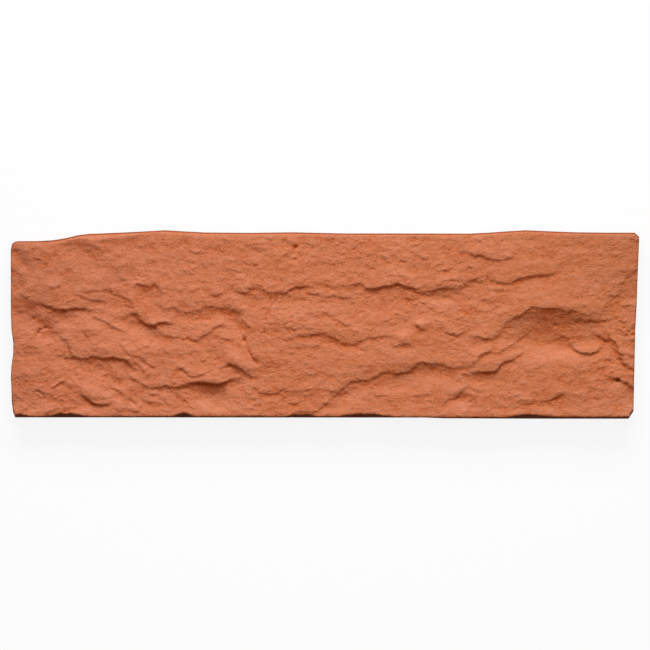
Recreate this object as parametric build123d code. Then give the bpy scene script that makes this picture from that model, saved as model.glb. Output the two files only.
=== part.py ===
from build123d import *
from dataclasses import dataclass, field
import math
import os

# Cast concrete cladding stone with a riven face, lying on its flat back.
#
# The stone is one solid. It was poured face down into a drafted mould that was taken from cleft rock, so its
# face is a bed with layers of flakes on it, each broken off along a ragged lip. X runs along the stone, Y up
# the wall that it is laid on, and Z out of the wall. The origin is the centre of the back. Millimetres.

# Driving sizes of the slab
LENGTH = 360.0
HEIGHT = 108.0
THICKNESS = 20.0  # from the back to the highest lip of the face

# The mould's sides
DRAFT_INSET = 0.7  # how far the sides lean in from the back up to the shoulder
SHOULDER_DEPTH = 8.0  # how far below the highest lip the sides start to roll over into the face
ROLL_LEAN = 0.15  # lean of the rolled edge, as a run for each unit of its height
HEADROOM = 2.0  # how far the mould's space goes on above the highest lip

# The flakes
TUCK = 0.8  # how far a flake's tail and ends dive under the surface that they come out of
LIP_LEAN = 0.3  # lean of a flake's broken edge, as a run for each unit of its height

# The scallops broken out of the lower edge of the face
CHIP_SLOPE = 75.0  # degrees below the level

# The back's outline, in percent of the length and of the height
TOP_EDGE = [(0.9, 94.2), (5.5, 94.2), (9, 96), (12.2, 98.1), (18, 98.8), (24.5, 100), (31, 98.8),
            (45, 99), (56, 98.2), (73, 98.2), (82, 100), (90, 98.9), (99.2, 98.8)]
RIGHT_EDGE = [(100, 97.5), (99.7, 70), (99.4, 48), (99.2, 20), (99.1, 4.5)]
BOTTOM_EDGE = [(98.3, 0), (0.7, 0.5)]
LEFT_EDGE = [(0.3, 6.5), (0.05, 18), (0.15, 28), (0.4, 38), (0.15, 47), (0.02, 60), (0, 75), (0.08, 90)]


def on_face(along, up):
    """A place on the face, from percents of the length and the height, in millimetres."""
    return (along / 100 - 0.5) * LENGTH, (up / 100 - 0.5) * HEIGHT


@dataclass
class Flake:
    """One cleft layer. Its lip is a ragged line of places (along %, up %, step in mm), and from the lip
    its top slopes back down into the stone over the reach."""
    reach: float
    lip: list
    stations: list = field(default_factory=list)

    def lay_on(self, ground):
        """Settles the flake on what already lies there. A step of 0 is an end, where the lip dies out."""
        for along, up, step in self.lip:
            x, y = on_face(along, up)
            rise = step if step > 0 else -TUCK
            self.stations.append((x, y, ground(x, y) + rise, ground(x, y + self.reach) - TUCK))

    def level_at(self, x, y):
        """The level of the flake's top over the bed at a place, or 0 beside the flake."""
        for (x0, y0, lip0, tail0), (x1, y1, lip1, tail1) in zip(self.stations, self.stations[1:]):
            if not x0 <= x <= x1:
                continue
            share = (x - x0) / (x1 - x0)
            back = (y - y0 - share * (y1 - y0)) / self.reach
            if 0 <= back <= 1:
                lip = lip0 + share * (lip1 - lip0)
                tail = tail0 + share * (tail1 - tail0)
                return lip + back * (tail - lip)
        return 0.0

    def solid(self):
        """A ruled loft through one upright section at each place of the lip, rooted in the bed as deep as
        the mould's shoulder lies under the face."""
        sections = []
        for x, y, lip, tail in self.stations:
            toe = y - LIP_LEAN * (lip + SHOULDER_DEPTH)
            heel = y + self.reach
            corners = [(x, toe, -SHOULDER_DEPTH), (x, y, lip), (x, heel, tail), (x, heel, -SHOULDER_DEPTH)]
            sections.append(make_face(Wire.make_polygon([Vector(*corner) for corner in corners])))
        return loft(sections, ruled=True)


# From the bottom of the stone up, each lying over the tails of those before it
FLAKES = [
    # Along the bottom edge
    Flake(12, [(10.4, 15, 0), (12, 11.5, 1.2), (13.2, 9, 1.6), (14.5, 8.2, 1.5), (15.9, 9, 0.8),
               (17, 10, 0)]),
    Flake(10, [(67.6, 10.6, 0), (68.8, 9.3, 0.8), (69.5, 11.3, 1.1), (71.3, 12.3, 1.2), (72.3, 15.2, 1),
               (73.4, 19, 0)]),
    Flake(12, [(78, 6.8, 0), (80.2, 9.4, 0.7), (82, 10.2, 0.7), (85, 9.6, 0.9), (87, 12.6, 1), (89, 14, 0)]),
    # The brow over the deep hollow at the lower left, and the arch beside it
    Flake(16, [(18.6, 25, 0), (20.2, 20.5, 0.9), (22.3, 17, 1), (23.6, 17.5, 1), (26, 17, 1.1),
               (28.3, 19, 1.7), (31, 19.8, 2.2), (32.6, 19.2, 2.3), (34, 20.2, 1.9), (35.2, 21.6, 1),
               (36.2, 22.5, 0)]),
    Flake(14, [(32.6, 27, 0), (34, 27.8, 1.2), (35, 29.5, 1.8), (36.3, 27.5, 2), (37.5, 24.5, 1.9),
               (38.6, 22.5, 1.4), (39.7, 23.8, 0.6), (40.4, 25, 0)]),
    # The long ledge that climbs through the lower middle
    Flake(22, [(48.8, 4, 0), (50.4, 9, 0.8), (52.2, 15.3, 1.2), (54.3, 20.6, 1.6), (57.5, 22.4, 1.8),
               (59.9, 26, 2), (62, 26, 2), (63.5, 27.5, 2.1), (65, 31, 2.2), (68.2, 29.9, 2),
               (70.4, 27.2, 1.4), (73.2, 28, 0.7), (74.5, 29, 0)]),
    Flake(12, [(72.4, 26, 0), (74.2, 25.3, 1.8), (76.3, 25.3, 2.1), (77.4, 27.7, 1.9), (78.3, 30.7, 1.5),
               (79.7, 32, 0.8), (80.6, 34.3, 0)]),
    Flake(7, [(72.6, 29, 0), (73.8, 30.5, 0.8), (74.4, 34, 1.1), (76, 36.3, 1.1), (77, 39.5, 0)]),
    # The right end
    Flake(10, [(94.3, 25, 0), (95.5, 22, 1.1), (97, 20, 1.5), (98.2, 18.3, 1.6), (101, 14, 1.3)]),
    Flake(12, [(92.2, 46.5, 0), (93.9, 43.5, 0.8), (95, 42.5, 1.2), (96.2, 39.5, 1.4), (96.6, 35, 1.4),
               (97.2, 30, 1.4), (98.2, 27.7, 1.2), (101, 24, 1)]),
    Flake(7, [(89.3, 38.5, 0), (90.2, 36.2, 1.1), (91.2, 35.2, 1.4), (92.4, 35.6, 1), (93.3, 38, 0)]),
    # The shelf at the lower left, and the thin ones up from it
    Flake(20, [(7.6, 46.5, 0), (8.7, 42.5, 0.8), (9.8, 37, 1.5), (10.5, 33.3, 1.8), (12, 32.2, 1.8),
               (13.4, 33.5, 2), (17, 32.3, 2), (18.6, 31.3, 1.7), (19.6, 27.8, 1), (20.8, 24.5, 0)]),
    Flake(10, [(22.6, 51, 0), (23.7, 47, 0.7), (25.2, 44.3, 1), (27.7, 43, 1), (30, 42.3, 1),
               (31.8, 46.5, 0.8), (33, 49.3, 0.5), (35, 51, 0)]),
    Flake(10, [(17.8, 54, 0), (19.3, 55.8, 0.9), (20.2, 56, 1.2), (21, 52, 1.5), (22.4, 49.6, 1.7),
               (24, 51.7, 1.6), (24.9, 52, 1), (26, 49.5, 0)]),
    # The middle
    Flake(16, [(41.6, 41, 0), (43, 42.8, 0.6), (45.5, 43.7, 0.8), (48.3, 45.5, 1.1), (49.6, 45.8, 1.3),
               (51.3, 43.7, 1.2), (53.3, 40.3, 0.9), (54.3, 39, 0.5), (55.6, 41, 0)]),
    Flake(7, [(69.2, 47.5, 0), (70.2, 45.8, 0.9), (71.5, 45.7, 1), (72.6, 48, 0)]),
    Flake(6, [(60.4, 42.5, 0), (61.3, 40.5, 1), (63.2, 40.7, 1.2), (64.4, 42.5, 0)]),
    Flake(5, [(64.5, 49, 0), (65.2, 47.3, 1.2), (66, 47.6, 1.2), (66.7, 49.5, 0)]),
    Flake(14, [(25.7, 60, 0), (27.3, 57.8, 0.5), (29, 56.6, 0.8), (31, 58.5, 0.9), (33, 59.5, 0.9),
               (35, 58.5, 0.9), (36.8, 56.3, 0.8), (37.5, 53, 0.6), (38.3, 49, 0.5), (39.4, 49.5, 0)]),
    # The great ledge over the hollow at the right, which runs out to the right end
    Flake(28, [(75, 43, 0), (76.3, 42.8, 0.7), (77.3, 44.8, 0.9), (78.5, 49.5, 1.1), (79.4, 52.7, 1.3),
               (81.8, 57, 1.9), (82.9, 59.4, 2.4), (85, 59.2, 2.6), (87.5, 58.7, 2.5), (89.7, 57.4, 2.3),
               (91.2, 55.8, 1.9), (92.8, 55.1, 1.7), (93.9, 57, 1.5), (94.9, 62.5, 1.5), (97, 72.5, 1.5),
               (98.8, 79.5, 1.4), (101, 85, 1.2)]),
    # The left shoulder and the nub beside it
    Flake(36, [(-1, 81, 0.6), (0.6, 75, 0.8), (1.8, 68, 1.1), (4, 62.5, 1.5), (6, 60.5, 1.6), (8, 58.7, 1.5),
               (10.2, 59.4, 1.2), (12, 58.7, 0.8), (13.8, 56.8, 0.5), (15, 55, 0)]),
    Flake(10, [(18.4, 74, 0), (19.8, 72, 0.8), (22.2, 70.6, 1), (23.4, 71.3, 1.1), (24, 68.3, 0.8),
               (24.8, 62, 0)]),
    # The upper slab, with the longest lip
    Flake(24, [(34, 72, 0), (35.5, 69, 0.6), (37.2, 67.4, 0.9), (38.3, 69, 0.9), (40.2, 69.5, 0.9),
               (41.4, 66.5, 1.1), (43.6, 66.9, 1.1), (45, 69.8, 1.1), (47, 70.6, 0.8), (49.6, 71.6, 0.6),
               (51.9, 70.2, 0.6), (54.1, 71, 0.7), (55.9, 72.7, 0.9), (56.8, 69.8, 1.5), (60, 71, 1.8),
               (61.3, 72, 1.8), (63.2, 70.3, 1.7), (66, 68.2, 1.2), (67.8, 69.3, 1.7), (70.8, 69.7, 1.7),
               (72.3, 72.2, 1.1), (73.9, 74.9, 1), (74.8, 72.8, 1), (75.9, 75.4, 0.9), (78.3, 72.6, 1.4),
               (79.8, 73.2, 1.5), (81.3, 76, 1.7), (83, 77.6, 1.7), (85, 77.4, 1.5), (86.5, 78.6, 0.8),
               (87.6, 80.5, 0)]),
    Flake(9, [(70.4, 89, 0), (72, 86.7, 0.5), (73.9, 86.8, 0.8), (75.4, 86.2, 0.9), (76.8, 84.5, 1),
              (78.5, 84.9, 0.7), (79.8, 86.5, 0)]),
]

# Hollows in the bed: (along %, up %, radius in mm, depth in mm)
HOLLOWS = [
    # Under the great ledge at the right
    (82, 42, 16, 2.9), (85.5, 41.5, 18, 3.6), (88.5, 40.5, 15, 3), (92.5, 41, 11, 1.4),
    # Under the long ledge and the brow
    (54.5, 14, 9, 1.1), (61.5, 18, 16, 1.4), (67.5, 23.5, 13, 1.7), (29.5, 12.5, 10, 1.3),
    (32, 11.5, 10, 1.9), (34.8, 16, 9, 1.5),
    # Under the left shoulder and the curl, and under the shelf
    (3, 53, 12, 1.5), (8.5, 54, 9, 1.1), (6, 47, 9, 1.8), (15.5, 62, 14, 0.8), (20.5, 50, 11, 1.4),
    (13, 26.5, 13, 1.2),
    # Under the upper slab
    (39.5, 63, 13, 1), (45, 65, 9, 0.7), (58, 62, 19, 0.9), (68, 63.5, 12, 1), (71.3, 65, 8, 0.9),
    (75, 61.5, 13, 0.7), (36, 50, 9, 1), (30, 56, 9, 0.7),
    # Along the top edge and at the right end
    (12, 88, 12, 1.2), (98.5, 12, 9, 1),
]

# Swells of the bed: (along %, up %, radius in mm, height over the bed in mm)
SWELLS = [
    # The left part
    (3.5, 88, 15, 1.6), (17.5, 83, 9, 0.9), (14.5, 70.5, 7, 0.8), (13, 47.5, 9, 0.9), (19.5, 37, 9, 1.8),
    (3, 26, 9, 0.8), (13.3, 14.5, 9, 1.1), (25, 62, 8, 1.2), (32.3, 68, 8, 1.1), (27.5, 31, 11, 1.2),
    # The middle
    (35.7, 33.5, 10, 1.7), (39.7, 35, 12, 1.2), (45.5, 52, 14, 1), (58, 52, 9, 0.9), (62.3, 43, 7, 1.5),
    (65.4, 50, 5, 1.5), (62.5, 87.5, 9, 0.8),
    # The right part
    (75, 46.5, 7, 1.3), (75, 34.5, 10, 1.5), (92.5, 71, 20, 2), (75, 64, 8, 0.8), (97.5, 37.5, 6, 1.1),
]

# Scallops in the lower edge: (along %, width in mm, depth in mm)
CHIPS = [(1.8, 8, 2.4), (9.6, 19, 2.4), (27.4, 9, 2.8), (45.5, 11, 1.8), (56.5, 30, 2.2), (82, 20, 1.8)]


def outline(inset, level):
    """The stone's outline as a face at a level, moved in by the inset on every side."""
    shrink_x = 1 - 2 * inset / LENGTH
    shrink_y = 1 - 2 * inset / HEIGHT

    def places(edge):
        on_back = [on_face(along, up) for along, up in edge]
        return [Vector(x * shrink_x, y * shrink_y, level) for x, y in on_back]

    sides = [places(edge) for edge in (TOP_EDGE, RIGHT_EDGE, BOTTOM_EDGE, LEFT_EDGE)]
    edges = []
    for side, following in zip(sides, sides[1:] + sides[:1]):
        edges.append(Spline(*side) if len(side) > 2 else Line(*side))
        edges.append(Line(side[-1], following[0]))
    return make_face(Wire(edges))


def mould_space():
    """The room inside the mould: drafted sides, and above them the edges that roll into the face."""
    shoulder_level = THICKNESS - SHOULDER_DEPTH
    crest_inset = DRAFT_INSET + ROLL_LEAN * (SHOULDER_DEPTH + HEADROOM)
    back = outline(0, 0)
    shoulder = outline(DRAFT_INSET, shoulder_level)
    crest = outline(crest_inset, THICKNESS + HEADROOM)
    return loft([back, shoulder], ruled=True) + loft([shoulder, crest], ruled=True)


def hollow(along, up, radius, depth):
    """A ball that scoops a shallow hollow out of the bed at level 0."""
    ball = (radius ** 2 + depth ** 2) / (2 * depth)
    x, y = on_face(along, up)
    return Location((x, y, ball - depth), (90, 0, 0)) * Sphere(ball)


def swell(along, up, radius, height):
    """A shallow dome that stands out of the bed at level 0."""
    ball = (radius ** 2 + height ** 2) / (2 * height)
    x, y = on_face(along, up)
    below = Box(4 * ball, 4 * ball, 4 * ball, align=(Align.CENTER, Align.CENTER, Align.MAX))
    whole = Location((x, y, height - ball), (90, 0, 0)) * Sphere(ball)
    return whole - Pos(x, y, -SHOULDER_DEPTH) * below


def chip(along, width, depth):
    """A round cut that breaks a scallop out of the lower edge and comes out of the side below it."""
    slope = math.radians(CHIP_SLOPE)
    sagitta = depth * math.sin(slope)
    radius = (width ** 2 / 4 + sagitta ** 2) / (2 * sagitta)
    x, edge = on_face(along, 0)
    face_edge = edge + DRAFT_INSET + depth
    centre = (x, face_edge - radius * math.sin(slope), radius * math.cos(slope))
    return Location(centre, (CHIP_SLOPE - 90, 0, 0)) * Cylinder(radius, HEIGHT)


def lay_flakes():
    """Lays the flakes on the bed at level 0, from the bottom of the stone up."""
    laid = []

    def ground(x, y):
        return max([0.0] + [flake.level_at(x, y) for flake in laid])

    for flake in FLAKES:
        flake.lay_on(ground)
        laid.append(flake)
    return laid


def stone():
    flakes = lay_flakes()
    highest_lip = max(lip for flake in flakes for _, _, lip, _ in flake.stations)
    bed_level = THICKNESS - highest_lip
    bed = Box(2 * LENGTH, 2 * HEIGHT, bed_level, align=(Align.CENTER, Align.CENTER, Align.MAX))
    face = bed.cut(*[hollow(*size) for size in HOLLOWS])
    face = face.fuse(*[swell(*size) for size in SWELLS])
    face = face.fuse(*[flake.solid() for flake in flakes])
    face = face.cut(*[chip(*size) for size in CHIPS])
    return mould_space() & Pos(0, 0, bed_level) * face


os.makedirs("parts", exist_ok=True)
cladding_stone = stone()
export_step(cladding_stone, "parts/cladding_stone.step")
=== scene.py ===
import math

import bmesh
import bpy
import numpy as np
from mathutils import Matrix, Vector, noise


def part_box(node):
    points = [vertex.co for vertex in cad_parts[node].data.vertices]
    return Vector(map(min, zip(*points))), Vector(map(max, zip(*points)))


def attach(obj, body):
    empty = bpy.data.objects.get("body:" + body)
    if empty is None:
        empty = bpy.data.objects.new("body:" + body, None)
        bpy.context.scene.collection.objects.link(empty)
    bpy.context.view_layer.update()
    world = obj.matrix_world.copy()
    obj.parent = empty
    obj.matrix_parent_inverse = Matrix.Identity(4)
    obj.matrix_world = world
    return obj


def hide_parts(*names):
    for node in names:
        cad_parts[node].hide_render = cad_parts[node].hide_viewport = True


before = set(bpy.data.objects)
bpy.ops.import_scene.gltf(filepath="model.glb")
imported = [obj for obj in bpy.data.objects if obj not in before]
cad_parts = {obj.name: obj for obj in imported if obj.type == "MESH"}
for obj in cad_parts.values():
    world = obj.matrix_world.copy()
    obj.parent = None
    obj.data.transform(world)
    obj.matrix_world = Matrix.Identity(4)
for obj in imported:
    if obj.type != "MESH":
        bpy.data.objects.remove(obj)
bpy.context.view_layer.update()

# The cladding stone: its outline
# One piece of concrete, coloured right through and poured face down into a flexible mould. The mould's
# sides lean outwards, so the back is a little larger than the face. Its edges wander as cleft rock does.

MM = 0.001
stone_low, stone_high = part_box("cladding_stone")
STONE_LENGTH = (stone_high.x - stone_low.x) / MM
STONE_HEIGHT = (stone_high.y - stone_low.y) / MM
STONE_THICKNESS = (stone_high.z - stone_low.z) / MM

# The back's edges, in percent of the length and of the height
TOP_EDGE = [(0.6, 93.8), (1.2, 94.2), (5.5, 94.2), (7.4, 95), (9, 96), (10.6, 97.3), (12.2, 98), (15, 98.4),
            (18, 98.8), (21, 99.3), (24.5, 100), (28, 99.3), (31, 98.8), (38, 98.6), (45, 98.9), (53, 98.3),
            (62, 98.3), (73, 98.2), (76, 98.7), (79, 99.4), (82, 100), (86, 99.4), (90, 98.9), (95, 98.7),
            (99.3, 98.7)]
BOTTOM_EDGE = [(0.7, 0.7), (66, 0.6), (69, 0.2), (85, 0), (98.3, 0)]
LEFT_EDGE = [(0.7, 0.7), (0.35, 3.5), (0.15, 9), (0.1, 15), (0, 22), (0.1, 28), (0.35, 34), (0.4, 40),
             (0.1, 47), (0, 55), (0, 75), (0, 90), (0.2, 92.8), (0.6, 93.8)]
RIGHT_EDGE = [(98.3, 0), (99.1, 4), (99.2, 20), (99.4, 48), (99.6, 60), (99.8, 80), (100, 96.5),
              (99.3, 98.7)]

# How far the draft brings the face's edge inside the back's edge, in mm
TOP_INSET = 1.1
END_INSET = 1.0

# The face's lower edge, with the scallops that are broken out of it: (along %, up %)
FACE_LOW_EDGE = [(0, 1.5), (0.9, 1.7), (1.3, 2.5), (1.8, 2.8), (2.2, 2.2), (2.8, 1.8), (3.5, 1.4),
                 (5.5, 1.35), (6.3, 1.6), (7, 2), (7.6, 2.7), (8.3, 2.9), (8.9, 2.7), (9.6, 3.1),
                 (10.3, 2.6), (10.9, 2.4), (11.6, 1.9), (12.4, 1.5), (13.5, 1.3), (25.3, 1.3), (26, 1.6),
                 (26.6, 2.4), (27.3, 3), (27.9, 3.3), (28.5, 2.7), (29, 1.6), (30, 1.3), (43.5, 1.3),
                 (44.3, 1.7), (45.2, 2.3), (46.2, 2.1), (47, 2.5), (48, 2), (48.8, 1.4), (52, 1.3),
                 (52.8, 1.8), (54, 2.3), (55, 2.8), (56.5, 2.6), (57.5, 2.7), (58.5, 2.2), (59.7, 1.7),
                 (60.8, 1.3), (64, 1), (72, 0.8), (78.8, 0.9), (79.6, 1.3), (80.5, 1.9), (81.5, 2.4),
                 (82.5, 2.5), (83.4, 2.2), (84.6, 1.7), (86, 1.3), (87.5, 1.1), (100, 1)]


def along_mm(percent):
    """A place along the stone, in mm from its middle."""
    return (np.asarray(percent, float) / 100 - 0.5) * STONE_LENGTH


def up_mm(percent):
    """A place up the stone, in mm from its middle."""
    return (np.asarray(percent, float) / 100 - 0.5) * STONE_HEIGHT


def edge_line(points, across, share):
    """The wandering edge's coordinate at a share of the way along it, by its own length or height."""
    places = np.array(points, float)
    runs = (places[:, 1 - across] - places[0, 1 - across]) / (places[-1, 1 - across] - places[0, 1 - across])
    value = np.interp(share, runs, places[:, across])
    return up_mm(value) if across else along_mm(value)


def stone_plan(u, v, inset):
    """Where a point of the stone lies in plan: u and v run over the face from 0 to 1, and inset is how much
    of the face's inset it has, from 0 on the back's edge to 1 on the face's edge."""
    left = edge_line(LEFT_EDGE, 0, v) + inset * END_INSET
    right = edge_line(RIGHT_EDGE, 0, v) - inset * END_INSET
    back_low = edge_line(BOTTOM_EDGE, 1, u)
    top = edge_line(TOP_EDGE, 1, u) - inset * TOP_INSET
    x = left + u * (right - left)
    low_places = np.array(FACE_LOW_EDGE)
    face_low = np.interp(x, along_mm(low_places[:, 0]), up_mm(low_places[:, 1]))
    bottom = back_low + inset * (face_low - back_low)
    return x, bottom + v * (top - bottom)


# The cladding stone: its riven face
# The face copies rock that was split along its bedding. Thin flakes lie over each other, each broken off
# along a ragged lip that faces down the stone, with a scoop under it where the next flake came away.

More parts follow.
